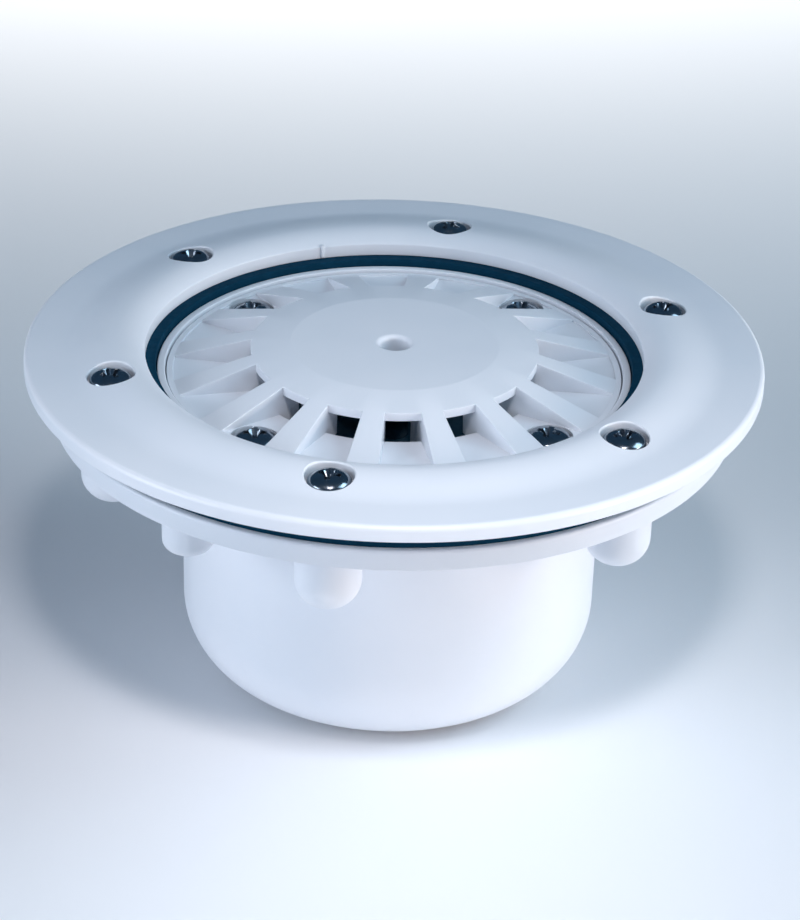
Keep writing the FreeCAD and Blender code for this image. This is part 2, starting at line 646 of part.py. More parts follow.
# Throttle spindle: held by its collar in the hub, turned with a key through the cap
throttle_spindle = new_body("throttle_spindle")
revolve(throttle_spindle, "Spindle", [
    ("0", SPINDLE_END),
    ("thread_radius - point_chamfer", SPINDLE_END),
    ("thread_radius", SPINDLE_END + " + point_chamfer"),
    ("thread_radius", COLLAR_FOOT),
    ("collar_radius", COLLAR_FOOT),
    ("collar_radius", COLLAR_TOP),
    ("eye_radius - journal_play", COLLAR_TOP),
    ("eye_radius - journal_play", SPINDLE_TOP + " - point_chamfer"),
    ("eye_radius - journal_play - point_chamfer", SPINDLE_TOP),
    ("0", SPINDLE_TOP),
])
key = new_sketch(throttle_spindle, "Key", "XY_Plane", SPINDLE_TOP)
draw_hexagon(key, "key_width")
extrude(throttle_spindle, "KeySocket", key, "key_depth", "0", cut=True)


# Retaining washer under the hub, with two screws
spindle_retainer = new_body("spindle_retainer")
revolve(spindle_retainer, "Washer", [
    ("thread_radius + journal_play", WASHER_UNDERSIDE),
    ("hub_radius", WASHER_UNDERSIDE),
    ("hub_radius", HUB_END),
    ("thread_radius + journal_play", HUB_END),
])
stud_hole = "stud_radius + fit"
ring_of(spindle_retainer, "StudHole", STUDS, stud_hole, HUB_END, WASHER_UNDERSIDE, cut=True)
pieces += [throttle_disc, throttle_spindle, spindle_retainer]


# Screws of the washer, which point upwards
for index in range(SIZES["stud_count"][0]):
    stud = screw(f"retainer_screw_{index + 1}", "stud", STUDS, index, WASHER_UNDERSIDE)
    stud.setExpression("Placement.Base.z", formula(f"{WASHER_UNDERSIDE} + stud_length"))
    stud.Placement.Rotation = FreeCAD.Rotation(FreeCAD.Vector(1, 0, 0), 180)
    pieces.append(stud)


# Check every feature and every piece, then write one file for each piece
doc.recompute()
for item in doc.Objects:
    if "Invalid" in item.State or "Error" in item.State:
        raise RuntimeError(f"{item.Label} did not build")
for piece in pieces:
    if piece.Shape.isNull() or not piece.Shape.isValid() or len(piece.Shape.Solids) != 1:
        raise RuntimeError(f"{piece.Label} is not one valid solid")
os.makedirs("parts", exist_ok=True)
for piece in pieces:
    piece.Shape.exportStep(f"parts/{piece.Label}.step")
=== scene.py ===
"""Looks of a pool floor inlet: finished pieces, materials and a stage, laid out as an add-on.

All lengths are in metres and in the frame of the packed model: the Z axis is the axis of
the pot, and the flat bottom of the pot lies at height 0.
"""
import json
import math

import bmesh
import bpy
from mathutils import Matrix, Vector


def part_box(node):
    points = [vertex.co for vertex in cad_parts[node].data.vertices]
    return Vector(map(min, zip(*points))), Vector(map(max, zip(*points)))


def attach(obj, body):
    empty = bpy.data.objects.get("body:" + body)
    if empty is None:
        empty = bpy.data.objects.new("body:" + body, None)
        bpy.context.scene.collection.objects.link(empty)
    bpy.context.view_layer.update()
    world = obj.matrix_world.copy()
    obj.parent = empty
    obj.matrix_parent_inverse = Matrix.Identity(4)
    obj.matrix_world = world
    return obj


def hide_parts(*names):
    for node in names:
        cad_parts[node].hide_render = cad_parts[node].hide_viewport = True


bl_info = {
    "name": "Floor inlet looks",
    "version": (1, 0, 0),
    "blender": (4, 5, 0),
    "location": "View3D > Sidebar > Floor inlet",
    "description": "Finished pieces, materials and a studio stage for a pool floor inlet",
    "category": "Object",
}

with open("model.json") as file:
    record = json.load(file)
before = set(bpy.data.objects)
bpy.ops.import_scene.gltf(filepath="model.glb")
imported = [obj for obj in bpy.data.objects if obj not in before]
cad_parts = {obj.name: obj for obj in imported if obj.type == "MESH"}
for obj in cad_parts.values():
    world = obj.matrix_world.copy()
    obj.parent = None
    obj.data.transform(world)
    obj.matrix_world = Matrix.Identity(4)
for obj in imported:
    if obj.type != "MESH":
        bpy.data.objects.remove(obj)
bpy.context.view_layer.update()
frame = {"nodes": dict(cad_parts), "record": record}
BODY = {node: name for name, nodes in frame["record"]["behaviour"]["bodies"].items() for node in nodes}
RING_LOW, RING_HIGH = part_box("clamping_flange")
PLATE_LOW, PLATE_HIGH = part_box("diffuser_plate")
GASKET_LOW, GASKET_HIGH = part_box("liner_gasket_lower")
SCREW_LOW, SCREW_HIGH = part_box("flange_screw_1")
PIN_LOW, PIN_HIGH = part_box("diffuser_screw_1")
BODY_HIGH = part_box("inlet_body")[1]


# Properties

def length(name, description, default):
    """Length in metres for the panel."""
    return bpy.props.FloatProperty(
        name=name, description=description, default=default, min=0.0, precision=5,
        subtype="DISTANCE", unit="LENGTH")


def angle(name, description, degrees):
    """Angle for the panel, given in degrees."""
    return bpy.props.FloatProperty(
        name=name, description=description, default=math.radians(degrees), subtype="ANGLE", unit="ROTATION")


def number(name, description, default):
    """Plain number for the panel."""
    return bpy.props.FloatProperty(name=name, description=description, default=default)


def count(name, description, default):
    """Whole number for the panel."""
    return bpy.props.IntProperty(name=name, description=description, default=default, min=1)


def colour(name, description, default):
    """Linear colour for the panel."""
    return bpy.props.FloatVectorProperty(
        name=name, description=description, default=default, size=3, min=0.0, max=1.0, subtype="COLOR")


class InletBodySizes(bpy.types.PropertyGroup):
    """Pot, pipe socket, seat, rim, lower flange and bosses."""

    pot_radius: length("Pot radius", "Outside of the pot", 0.0535)
    pot_wall: length("Pot wall", "Wall and floor of the pot", 0.0035)
    pot_round: length("Pot rounding", "Large rounding between wall and floor", 0.020)
    pipe_radius: length("Socket radius", "Bore that takes the pipe", 0.02515)
    socket_depth: length("Socket depth", "How far the pipe goes in", 0.031)
    socket_wall: length("Socket wall", "Wall of the pipe socket", 0.0038)
    stop_radius: length("Stop radius", "Clear width above the pipe's end", 0.02255)
    stop_height: length("Stop height", "Ring that stops the pipe", 0.003)
    seat_radius: length("Seat radius", "Bore round the diffuser", 0.05755)
    seat_height: length("Seat height", "Face that carries the diffuser", 0.079)
    seat_floor: length("Seat floor", "Material under the seat", 0.0035)
    seat_wall: length("Seat wall", "Thick ring round the seat", 0.004)
    rim_radius: length("Rim radius", "Outside of the rim round the diffuser", 0.0596)
    rim_top: length("Rim height", "Upper end of the rim", BODY_HIGH.z)
    flange_radius: length("Flange radius", "Outside of the lower flange", BODY_HIGH.x)
    flange_top: length("Flange height", "Upper face of the lower flange", 0.080)
    flange_thickness: length("Flange thickness", "Plate of the lower flange", 0.0036)
    skirt_depth: length("Skirt depth", "Turned down edge of the lower flange", 0.0053)
    skirt_width: length("Skirt width", "Wall of the turned down edge", 0.003)
    boss_radius: length("Boss radius", "Round bosses that take the flange screws", 0.008)
    boss_end: length("Boss end", "Height of the bosses' lower ends", 0.057)
    boss_round: length("Boss rounding", "Domed lower end of the bosses", 0.0072)
    lug_radius: length("Lug radius", "Plain lugs between the bosses", 0.0063)
    lug_end: length("Lug end", "Height of the lugs' lower ends", 0.0612)
    lug_round: length("Lug rounding", "Rounded lower end of the lugs", 0.003)
    lug_phase: angle("Lug angle", "Angle of the first lug", 105.0)
    lug_count: count("Lugs", "Number of plain lugs", 3)
    pin_boss_radius: length("Inner boss radius", "Bosses that take the diffuser screws", 0.006)
    pin_boss_end: length("Inner boss end", "Height of the inner bosses' lower ends", 0.062)
    edge_round: length("Edge rounding", "Small rounding of moulded edges", 0.0004)
    bore_margin: length("Bore margin", "Material under the bores for the flange screws", 0.0045)
    pin_bore_margin: length("Pin bore margin", "Material under the bores for the diffuser screws", 0.003)


class InletRingSizes(bpy.types.PropertyGroup):
    """Clamping flange with its raised lip and its six recesses."""

    opening: length("Opening", "Radius of the opening", 0.0625)
    radius: length("Radius", "Outside of the clamping flange", RING_HIGH.x)
    underside: length("Underside", "Height of the lower face", RING_LOW.z)
    top: length("Flat height", "Height of the flat outer zone", 0.090)
    edge_round: length("Edge rounding", "Rounding of the upper outer edge", 0.0014)
    lower_round: length("Lower rounding", "Rounding of the lower edges", 0.0003)
    lip_foot: length("Lip foot", "Radius where the lip starts to rise", 0.083)
    lip_crest: length("Lip crest", "Radius of the highest line", 0.0695)
    lip_height: length("Lip height", "Height of the highest line", RING_HIGH.z)
    lip_nose: length("Lip nose", "Fall from the crest to the opening", 0.0026)
    recess_radius: length("Recess radius", "Recesses of the screw heads", 0.00585)
    recess_floor: length("Recess floor", "Height of the recesses' floor", 0.0886)
    recess_round: length("Recess rounding", "Softened mouth of the recesses", 0.0005)
    pip_width: length("Pip width", "Small moulded rib on the wall of the opening", 0.0009)
    pip_reach: length("Pip reach", "How far that rib stands out", 0.00045)
    pip_phase: angle("Pip angle", "Angle of that rib", 105.0)


class InletDiffuserSizes(bpy.types.PropertyGroup):
    """Diffuser with its cap, hub, guide posts and sixteen ribs."""

    seat: length("Seat", "Height of the lower face", 0.079)
    radius: length("Radius", "Outside of the plate", 0.05725)
    edge_height: length("Edge height", "Height of the plate's edge", 0.0044)
    edge_margin: length("Edge margin", "Flat of the plate's edge", 0.0014)
    cap_radius: length("Cap radius", "Rim of the cap", 0.0362)
    cap_rise: length("Cap rise", "Rim of the cap over the seat", 0.0103)
    cap_thickness: length("Cap thickness", "Cap at its rim", 0.0023)
    plateau_radius: length("Plateau radius", "Flat middle of the cap", 0.0262)
    plateau_top: length("Plateau height", "Flat middle of the cap", PLATE_HIGH.z)
    eye_radius: length("Eye radius", "Hole in the middle of the cap", 0.0038)
    eye_round: length("Eye rounding", "Rounded mouth of that hole", 0.0012)
    rib_count: count("Ribs", "Number of ribs, and of pockets between them", 16)
    pocket_angle: angle("Pocket angle", "Angle that a pocket spans", 13.9)
    pocket_end: length("Pocket end", "Radius where the pockets run out", 0.0556)
    pocket_rise: length("Pocket rise", "Pocket's floor there, over the seat", 0.00395)
    throat_radius: length("Throat radius", "Inner edge of the pockets' floor", 0.037)
    throat_rise: length("Throat rise", "Height of that edge over the seat", 0.003)
    rib_foot: length("Rib foot", "Inner end of the ribs under the cap", 0.031)
    hub_radius: length("Hub radius", "Hub under the cap", 0.0125)
    hub_bore: length("Hub bore", "Bore of the hub round the spindle's collar", 0.0068)
    hub_end: length("Hub end", "Lower end of the hub", 0.078)
    bore_top: length("Bore end", "Upper end of the hub's bore", 0.0804)
    post_radius: length("Post radius", "Guide posts of the throttle disc", 0.0025)
    post_circle: length("Post circle", "Pitch radius of the guide posts", 0.0215)
    post_phase: angle("Post angle", "Angle of the first post", 45.0)
    post_end: length("Post end", "Height of the posts' lower ends", PLATE_LOW.z)
    post_count: count("Posts", "Number of guide posts", 3)
    recess_radius: length("Recess radius", "Recesses of the diffuser screws", 0.00595)
    recess_floor: length("Recess floor", "Height of these recesses' floor", 0.0811)
    stud_circle: length("Stud circle", "Pitch radius of the washer's screws", 0.0097)
    stud_radius: length("Stud radius", "Holes of the washer's screws", 0.0015)
    stud_depth: length("Stud depth", "Depth of the holes for the washer's screws", 0.0075)
    edge_round: length("Edge rounding", "Softened edges of ribs and cap", 0.00028)


class InletGasketSizes(bpy.types.PropertyGroup):
    """Two flat gaskets between the flanges."""

    inside: length("Inside", "Inner radius", 0.05985)
    outside: length("Outside", "Outer radius", GASKET_HIGH.x)
    thickness: length("Thickness", "Thickness of each gasket", GASKET_HIGH.z - GASKET_LOW.z)
    bulge: length("Bulge", "Rounding of the squeezed edges", 0.00032)


class InletScrewSizes(bpy.types.PropertyGroup):
    """Pan head screws with a cross recess."""

    circle: length("Flange circle", "Pitch radius of the flange screws", 0.07275)
    phase: angle("Flange angle", "Angle of the first flange screw", 15.0)
    number: count("Flange screws", "Number of flange screws", 6)
    pin_circle: length("Diffuser circle", "Pitch radius of the diffuser screws", 0.0502)
    pin_phase: angle("Diffuser angle", "Angle of the first diffuser screw", 45.0)
    pin_number: count("Diffuser screws", "Number of diffuser screws", 4)
    shank: length("Flange shank", "Radius of the flange screws' shanks", 0.0025)
    shank_length: length("Flange shank length", "Length below the head", 0.024)
    pin_shank: length("Diffuser shank", "Radius of the diffuser screws' shanks", 0.0021)
    pin_shank_length: length("Diffuser shank length", "Length below the head", 0.014)
    head: length("Flange head", "Radius of the flange screws' heads", 0.0053)
    pin_head: length("Diffuser head", "Radius of the diffuser screws' heads", 0.0055)
    head_rim: number("Head rim", "Straight part of the heads' sides, as a share of their height", 0.26)
    play: length("Hole play", "Play of the shanks in the holes", 0.0004)
    cross_reach: number("Cross reach", "Half the width of the cross recess, as a share of the head", 0.56)
    cross_width: number("Cross width", "Width of its arms, as a share of the head", 0.27)
    cross_depth: number("Cross depth", "Its depth, as a share of the head's height", 0.66)
    cross_round: length("Cross rounding", "Softened edge of the cross recess", 0.00022)
    turn: angle("Turn", "Turn of each screw against the one before", 67.0)


class InletFinish(bpy.types.PropertyGroup):
    """Colours and surface of the materials."""

    plastic: colour("Plastic", "Moulded white plastic", (0.86, 0.88, 0.93))
    plastic_shade: colour("Plastic mottling", "Slightly darker patches", (0.825, 0.855, 0.91))
    plastic_roughness: number("Plastic roughness", "Middle value", 0.36)
    # Near-black gasket rubber; its extra darkness and blue tint are painted shade for the dark gaps where the
    # gaskets show.
    rubber: colour("Rubber", "Gaskets", (0.003, 0.036, 0.070))
    # Darker than bare stainless steel, so the polished heads look near-black: painted shade in their
    # reflections.
    steel: colour("Steel", "Polished screws", (0.38, 0.42, 0.47))
    brass: colour("Brass", "Inserts", (0.62, 0.43, 0.17))
    # Near-black acetal with a blue tint; the tint is painted shade, standing for the dark blue shade seen
    # through the diffuser's windows.
    acetal: colour("Acetal", "Throttle disc and washer", (0.022, 0.115, 0.190))


class InletStage(bpy.types.PropertyGroup):
    """Camera and lights."""

    camera_azimuth: angle("Camera azimuth", "Direction of the camera seen from the axis", -93.85)
    camera_reach: length("Camera distance", "Distance of the camera from the axis", 0.63605)
    camera_height: length("Camera height", "Height of the camera", 0.40198)
    camera_roll: angle("Camera roll", "Tilt about the line of sight", 1.72)
    lens: number("Lens", "Focal length in millimetres on a sensor of 36 mm", 110.4)
    left: number("Left light", "Power in watts", 1.27)
    right: number("Right light", "Power in watts", 1.09)
    high: number("High light on the right", "Power in watts", 3.4)
    front: number("Narrow light in front", "Power in watts", 0.2)
    far: number("Light on the floor behind", "Power in watts", 15.3)
    surround: number("Surround", "Strength of the even light from all sides", 0.12)


# Meshes

def arc_steps(radius):
    """Segments for a rounding, more for a larger one."""
    return max(3, min(24, round(math.sqrt(radius) * 170)))


def rounded(corners):
    """Closed outline of (radius, height), with an arc where a corner has a rounding."""
    points = []
    for index, corner in enumerate(corners):
        here = Vector(corner[:2])
        if len(corner) < 3:
            points.append(here)
            continue
        before = (Vector(corners[index - 1][:2]) - here).normalized()
        after = (Vector(corners[(index + 1) % len(corners)][:2]) - here).normalized()
        half = before.angle(after) / 2
        centre = here + (before + after).normalized() * corner[2] / math.sin(half)
        first = here + before * corner[2] / math.tan(half) - centre
        last = here + after * corner[2] / math.tan(half) - centre
        steps = arc_steps(corner[2])
        turn = first.angle_signed(last)
        for step in range(steps + 1):
            spoke = first.copy()
            spoke.rotate(Matrix.Rotation(-turn * step / steps, 2))
            points.append(centre + spoke)
    return points


def lathe(outline, steps):
    """Mesh of a closed outline of (radius, height) turned once about the Z axis."""
    mesh = bmesh.new()
    corners = [mesh.verts.new((radius, 0.0, height)) for radius, height in outline]
    pairs = zip(corners, corners[1:] + corners[:1])
    edges = [mesh.edges.new(pair) for pair in pairs if pair[0].co.x + pair[1].co.x > 1e-6]
    bmesh.ops.spin(mesh, geom=corners + edges, axis=(0, 0, 1), cent=(0, 0, 0),
                   angle=math.tau, steps=steps, use_merge=True)
    bmesh.ops.remove_doubles(mesh, verts=mesh.verts, dist=1e-6)
    bmesh.ops.recalc_face_normals(mesh, faces=mesh.faces)
    return mesh


def spread(mesh, radius, phase, number, turn=0.0):
    """Mesh repeated evenly round a pitch circle, each copy turned further about its own axis."""
    first = mesh.verts[:] + mesh.edges[:] + mesh.faces[:]
    copies = [mesh.verts[:]]
    for _ in range(1, number):
        made = bmesh.ops.duplicate(mesh, geom=first)["geom"]
        copies.append([item for item in made if isinstance(item, bmesh.types.BMVert)])
    for index, points in enumerate(copies):
        own = Matrix.Rotation(turn * index, 3, "Z")
        place = Matrix.Rotation(phase + math.tau * index / number, 3, "Z")
        bmesh.ops.rotate(mesh, verts=points, cent=(0, 0, 0), matrix=own)
        bmesh.ops.translate(mesh, verts=points, vec=(radius, 0, 0))
        bmesh.ops.rotate(mesh, verts=points, cent=(0, 0, 0), matrix=place)
    return mesh


def as_object(name, mesh):
    """Object in the scene that takes over a mesh."""
    data = bpy.data.meshes.new(name)
    mesh.to_mesh(data)
    mesh.free()
    made = bpy.data.objects.new(name, data)
    bpy.context.scene.collection.objects.link(made)
    return made


def combine(mesh, tool, operation):
    """Mesh joined with a tool or cut by it. Both are used up."""
    target, cutter = as_object("target", mesh), as_object("cutter", tool)
    boolean = target.modifiers.new("Combine", "BOOLEAN")
    boolean.operation = operation
    boolean.solver = "MANIFOLD"
    boolean.object = cutter
    graph = bpy.context.evaluated_depsgraph_get()
    result = bmesh.new()
    result.from_mesh(target.evaluated_get(graph).data)
    for used in (target, cutter):
        data = used.data
        bpy.data.objects.remove(used)
        bpy.data.meshes.remove(data)
    bmesh.ops.remove_doubles(result, verts=result.verts, dist=1e-7)
    if not result.faces:
        raise RuntimeError(f"nothing left after {operation}")
    return result


def soften(mesh, width, chosen, segments=2):
    """Bevel on the edges for which a test holds."""
    edges = [edge for edge in mesh.edges if chosen(edge)]
    if not edges:
        raise RuntimeError("no edge to soften")
    bmesh.ops.bevel(mesh, geom=edges, offset=width, segments=segments, profile=0.5,
                    affect="EDGES", material=-1, clamp_overlap=True)


def add_piece(name, mesh, nodes, slot, crease=32.0):
    """Finished piece that rides on the body of the nodes it stands for."""
    open_edges = sum(1 for edge in mesh.edges if not edge.is_manifold)
    if open_edges:
        raise RuntimeError(f"{name} has {open_edges} open edges")
    top, wanted = max(vertex.co.z for vertex in mesh.verts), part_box(nodes[0])[1].z
    if abs(top - wanted) > 0.001:
        raise RuntimeError(f"{name} ends at {top:.4f} instead of {wanted:.4f}")
    piece = as_object(name, mesh)
    piece.data.materials.append(finish_of(slot))
    for face in piece.data.polygons:
        face.use_smooth = True
    piece.data.set_sharp_from_angle(angle=math.radians(crease))
    weighted = piece.modifiers.new("Even faces", "WEIGHTED_NORMAL")
    weighted.keep_sharp = True
    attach(piece, BODY[nodes[0]])
    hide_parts(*nodes)
    return piece


# Materials

def node(tree, kind, inputs=(), **settings):
    """Shader node with its settings, and its inputs as values or links."""
    made = tree.nodes.new(kind)
    for name, setting in settings.items():
        setattr(made, name, setting)
    for name, source in dict(inputs).items():
        if isinstance(source, bpy.types.NodeSocket):
            tree.links.new(source, made.inputs[name])
        else:
            made.inputs[name].default_value = source
    return made


def noise(tree, place, scale, detail=2.0):
    """Factor of a noise texture in object coordinates."""
    made = node(tree, "ShaderNodeTexNoise", {"Vector": place, "Scale": scale, "Detail": detail})
    return made.outputs["Fac"]


def between(tree, factor, low, high, start=0.35, end=0.65):
    """Number that follows a factor between two values."""
    made = node(tree, "ShaderNodeMapRange",
                {"Value": factor, "From Min": start, "From Max": end, "To Min": low, "To Max": high})
    return made.outputs["Result"]


def blend(tree, factor, first, second):
    """Colour between two colours or links."""
    made = node(tree, "ShaderNodeMix", {"Factor": factor}, data_type="RGBA")
    for socket, source in ((made.inputs[6], first), (made.inputs[7], second)):
        if isinstance(source, bpy.types.NodeSocket):
            tree.links.new(source, socket)
        else:
            socket.default_value = (*source, 1.0)
    return made.outputs[2]


def bump(tree, height, depth, strength):
    """Normal from a height factor, with its depth in metres."""
    made = node(tree, "ShaderNodeBump", {"Height": height, "Distance": depth, "Strength": strength})
    return made.outputs["Normal"]


def material(name, **constants):
    """Material, its node tree, its shader and its object coordinates."""
    made = bpy.data.materials.new(name)
    made.use_nodes = True
    shader = made.node_tree.nodes["Principled BSDF"]
    for socket, constant in constants.items():
        shader.inputs[socket.replace("_", " ").title().replace("Ior", "IOR")].default_value = constant
    place = made.node_tree.nodes.new("ShaderNodeTexCoord").outputs["Object"]
    return made, made.node_tree, shader, place


def plastic(finish):
    """Moulded white plastic: faint flow marks, uneven gloss, fine grain, and painted shade that darkens the
    corners.
    """
    made, tree, shader, place = material("white_abs_finish", IOR=1.52)
    flow = between(tree, noise(tree, place, 28.0, 3.0), 0.0, 1.0)
    tint = blend(tree, flow, finish.plastic, finish.plastic_shade)
    # Painted shade: ambient occlusion blends the colour towards a dim copy of the mottling colour in corners,
    # creases and narrow gaps.
    corner = node(tree, "ShaderNodeAmbientOcclusion", {"Distance": 0.004}, samples=6)
    painted_corner_shade = between(tree, corner.outputs["AO"], 0.28, 0.0, 0.25, 0.9)
    tint = blend(tree, painted_corner_shade, tint, tuple(0.55 * part for part in finish.plastic_shade))
    tree.links.new(tint, shader.inputs["Base Color"])
    gloss = between(tree, noise(tree, place, 90.0, 4.0),
                    finish.plastic_roughness - 0.05, finish.plastic_roughness + 0.07)
    tree.links.new(gloss, shader.inputs["Roughness"])
    tree.links.new(bump(tree, noise(tree, place, 2600.0, 3.0), 0.00002, 0.25), shader.inputs["Normal"])
    return made


def rubber(finish):
    """Sealing rubber: dull, with fine grain and pale dust."""
    made, tree, shader, place = material("gasket_rubber_finish", IOR=1.12)
    dust = between(tree, noise(tree, place, 320.0, 4.0), 0.0, 0.35, 0.45, 0.75)
    # The base colour is partly painted shade: darker and bluer than bare rubber.
    tint = blend(tree, dust, finish.rubber, tuple(1.5 * part + 0.002 for part in finish.rubber))
    tree.links.new(tint, shader.inputs["Base Color"])
    tree.links.new(between(tree, noise(tree, place, 700.0), 0.62, 0.78), shader.inputs["Roughness"])
    tree.links.new(bump(tree, noise(tree, place, 2200.0, 3.0), 0.00005, 0.4), shader.inputs["Normal"])
    return made


def steel(finish):
    """Polished stainless steel with fine turning marks and smudges."""
    made, tree, shader, place = material("stainless_steel_finish", metallic=1.0)
    smudge = noise(tree, place, 420.0, 4.0)
    dull = tuple(0.72 * part for part in finish.steel)
    # The steel colour it starts from is darkened as painted shade in the reflections.
    tint = blend(tree, between(tree, smudge, 0.0, 1.0), finish.steel, dull)
    tree.links.new(tint, shader.inputs["Base Color"])
    tree.links.new(between(tree, smudge, 0.12, 0.24), shader.inputs["Roughness"])
    tree.links.new(bump(tree, noise(tree, place, 3200.0, 2.0), 0.00001, 0.3), shader.inputs["Normal"])
    return made


def brass(finish):
    """Turned brass, slightly tarnished."""
    made, tree, shader, place = material("insert_brass_finish", metallic=1.0)
    tarnish = between(tree, noise(tree, place, 380.0, 4.0), 0.0, 0.6)
    tint = blend(tree, tarnish, finish.brass, tuple(0.55 * part for part in finish.brass))
    tree.links.new(tint, shader.inputs["Base Color"])
    tree.links.new(between(tree, noise(tree, place, 900.0), 0.24, 0.4), shader.inputs["Roughness"])
    return made


def acetal(finish):
    """Satin black acetal with fine grain; its blue tint is painted shade."""
    made, tree, shader, place = material("black_acetal_finish", IOR=1.48)
    worn = tuple(0.7 * part for part in finish.acetal)
    tint = blend(tree, noise(tree, place, 150.0, 3.0), finish.acetal, worn)
    tree.links.new(tint, shader.inputs["Base Color"])
    tree.links.new(between(tree, noise(tree, place, 600.0), 0.36, 0.5), shader.inputs["Roughness"])
    tree.links.new(bump(tree, noise(tree, place, 2400.0, 2.0), 0.00002, 0.25), shader.inputs["Normal"])
    return made


MAKERS = {"white_abs": plastic, "gasket_rubber": rubber, "stainless_steel": steel,
          "insert_brass": brass, "black_acetal": acetal}


def finish_of(slot):
    """Material for a slot of the record, made when first asked for."""
    found = bpy.data.materials.get(slot + "_finish")
    return found if found else MAKERS[slot](bpy.context.scene.inlet_finish)


# Pieces

class INLET_OT_body(bpy.types.Operator):
    """Make the pot with its pipe socket, seat, rim, lower flange, bosses and lugs"""

    bl_idname = "inlet.body"
    bl_label = "Inlet body"
    bl_options = {"REGISTER", "UNDO"}

    def execute(self, context):
        size = context.scene.inlet_body
        screws = context.scene.inlet_screws
        edge = size.edge_round
        plate = size.flange_top - size.flange_thickness
        skirt = size.flange_radius - size.skirt_width
        skirt_end = size.flange_top - size.skirt_depth
        seat_under = size.seat_height - size.seat_floor
        inside = size.pot_radius - size.pot_wall
        socket = size.pipe_radius + size.socket_wall
        stop_top = size.socket_depth + size.stop_height
        mesh = lathe(rounded([
            (size.pipe_radius, 0.0, edge),
            (size.pot_radius, 0.0, size.pot_round),
            (size.pot_radius, seat_under, edge),
            (size.seat_radius + size.seat_wall, seat_under, edge),
            (size.seat_radius + size.seat_wall, plate, edge),
            (skirt, plate, edge),
            (skirt, skirt_end, edge),
            (size.flange_radius, skirt_end, edge),
            (size.flange_radius, size.flange_top, 2 * edge),
            (size.rim_radius, size.flange_top),
            (size.rim_radius, size.rim_top, edge),
            (size.seat_radius, size.rim_top, edge),
            (size.seat_radius, size.seat_height),
            (inside, size.seat_height, edge),
            (inside, size.pot_wall, size.pot_round - size.pot_wall),
            (socket, size.pot_wall, edge),
            (socket, stop_top, edge),
            (size.stop_radius, stop_top, edge),
            (size.stop_radius, size.socket_depth, edge),
            (size.pipe_radius, size.socket_depth),
        ]), 160)
        boss = lathe(rounded([
            (0.0, size.boss_end),
            (size.boss_radius, size.boss_end, size.boss_round),
            (size.boss_radius, plate + edge),
            (0.0, plate + edge),
        ]), 48)
        lug = lathe(rounded([
            (0.0, size.lug_end),
            (size.lug_radius, size.lug_end, size.lug_round),
            (size.lug_radius, plate + edge),
            (0.0, plate + edge),
        ]), 40)
        pin_boss = lathe(rounded([
            (0.0, size.pin_boss_end),
            (size.pin_boss_radius, size.pin_boss_end, 2 * edge),
            (size.pin_boss_radius, seat_under + edge),
            (0.0, seat_under + edge),
        ]), 40)
        hole = screws.shank + screws.play
        hole_end = size.boss_end + size.bore_margin
        bore = lathe([(0.0, hole_end), (hole, hole_end), (hole, size.rim_top), (0.0, size.rim_top)], 32)
        pin_hole = screws.pin_shank + screws.play
        pin_end = size.pin_boss_end + size.pin_bore_margin
        pin_bore = lathe([(0.0, pin_end), (pin_hole, pin_end), (pin_hole, plate), (0.0, plate)], 28)
        outer = (screws.circle, screws.phase, screws.number)
        inner = (screws.pin_circle, screws.pin_phase, screws.pin_number)
        mesh = combine(mesh, spread(boss, *outer), "UNION")
        mesh = combine(mesh, spread(lug, screws.circle, size.lug_phase, size.lug_count), "UNION")
        mesh = combine(mesh, spread(pin_boss, *inner), "UNION")
        mesh = combine(mesh, spread(bore, *outer), "DIFFERENCE")
        mesh = combine(mesh, spread(pin_bore, *inner), "DIFFERENCE")
        add_piece("pot_and_flange", mesh, ["inlet_body"], "white_abs")
        return {"FINISHED"}


class INLET_OT_gaskets(bpy.types.Operator):
    """Make the two gaskets between the flanges"""

    bl_idname = "inlet.gaskets"
    bl_label = "Gaskets"
    bl_options = {"REGISTER", "UNDO"}

    def execute(self, context):
        size = context.scene.inlet_gaskets
        screws = context.scene.inlet_screws
        for node_name in ("liner_gasket_lower", "liner_gasket_upper"):
            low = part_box(node_name)[0].z
            high = low + size.thickness
            mesh = lathe(rounded([
                (size.inside, low, size.bulge),
                (size.outside, low, size.bulge),
                (size.outside, high, size.bulge),
                (size.inside, high, size.bulge),
            ]), 160)
            hole = screws.shank + screws.play
            past = size.thickness / 2
            bore = lathe([(0.0, low - past), (hole, low - past), (hole, high + past), (0.0, high + past)], 28)
            mesh = combine(mesh, spread(bore, screws.circle, screws.phase, screws.number), "DIFFERENCE")
            name = node_name.replace("liner_gasket", "sealing_ring")
            add_piece(name, mesh, [node_name], "gasket_rubber")
        return {"FINISHED"}


def lip_outline(size):
    """Upper face of the clamping flange from its outer flat to the opening."""
    points = []
    rise = size.lip_height - size.top
    for step in range(17):
        share = step / 16
        radius = size.lip_foot + (size.lip_crest - size.lip_foot) * share
        points.append((radius, size.top + rise * (1 - math.cos(math.pi * share)) / 2))
    run = size.lip_crest - size.opening
    bend = (run ** 2 + size.lip_nose ** 2) / (2 * size.lip_nose)
    for step in range(1, 12):
        across = run * step / 12
        points.append((size.lip_crest - across, size.lip_height - bend + math.sqrt(bend ** 2 - across ** 2)))
    points.append((size.opening, size.lip_height - size.lip_nose, 0.0004))
    return points


def height_on(outline, radius):
    """Height of an outline that runs inwards, at a radius."""
    for outer, inner in zip(outline, outline[1:]):
        if inner[0] <= radius <= outer[0]:
            share = (outer[0] - radius) / (outer[0] - inner[0])
            return outer[1] + share * (inner[1] - outer[1])
    return outline[0][1]


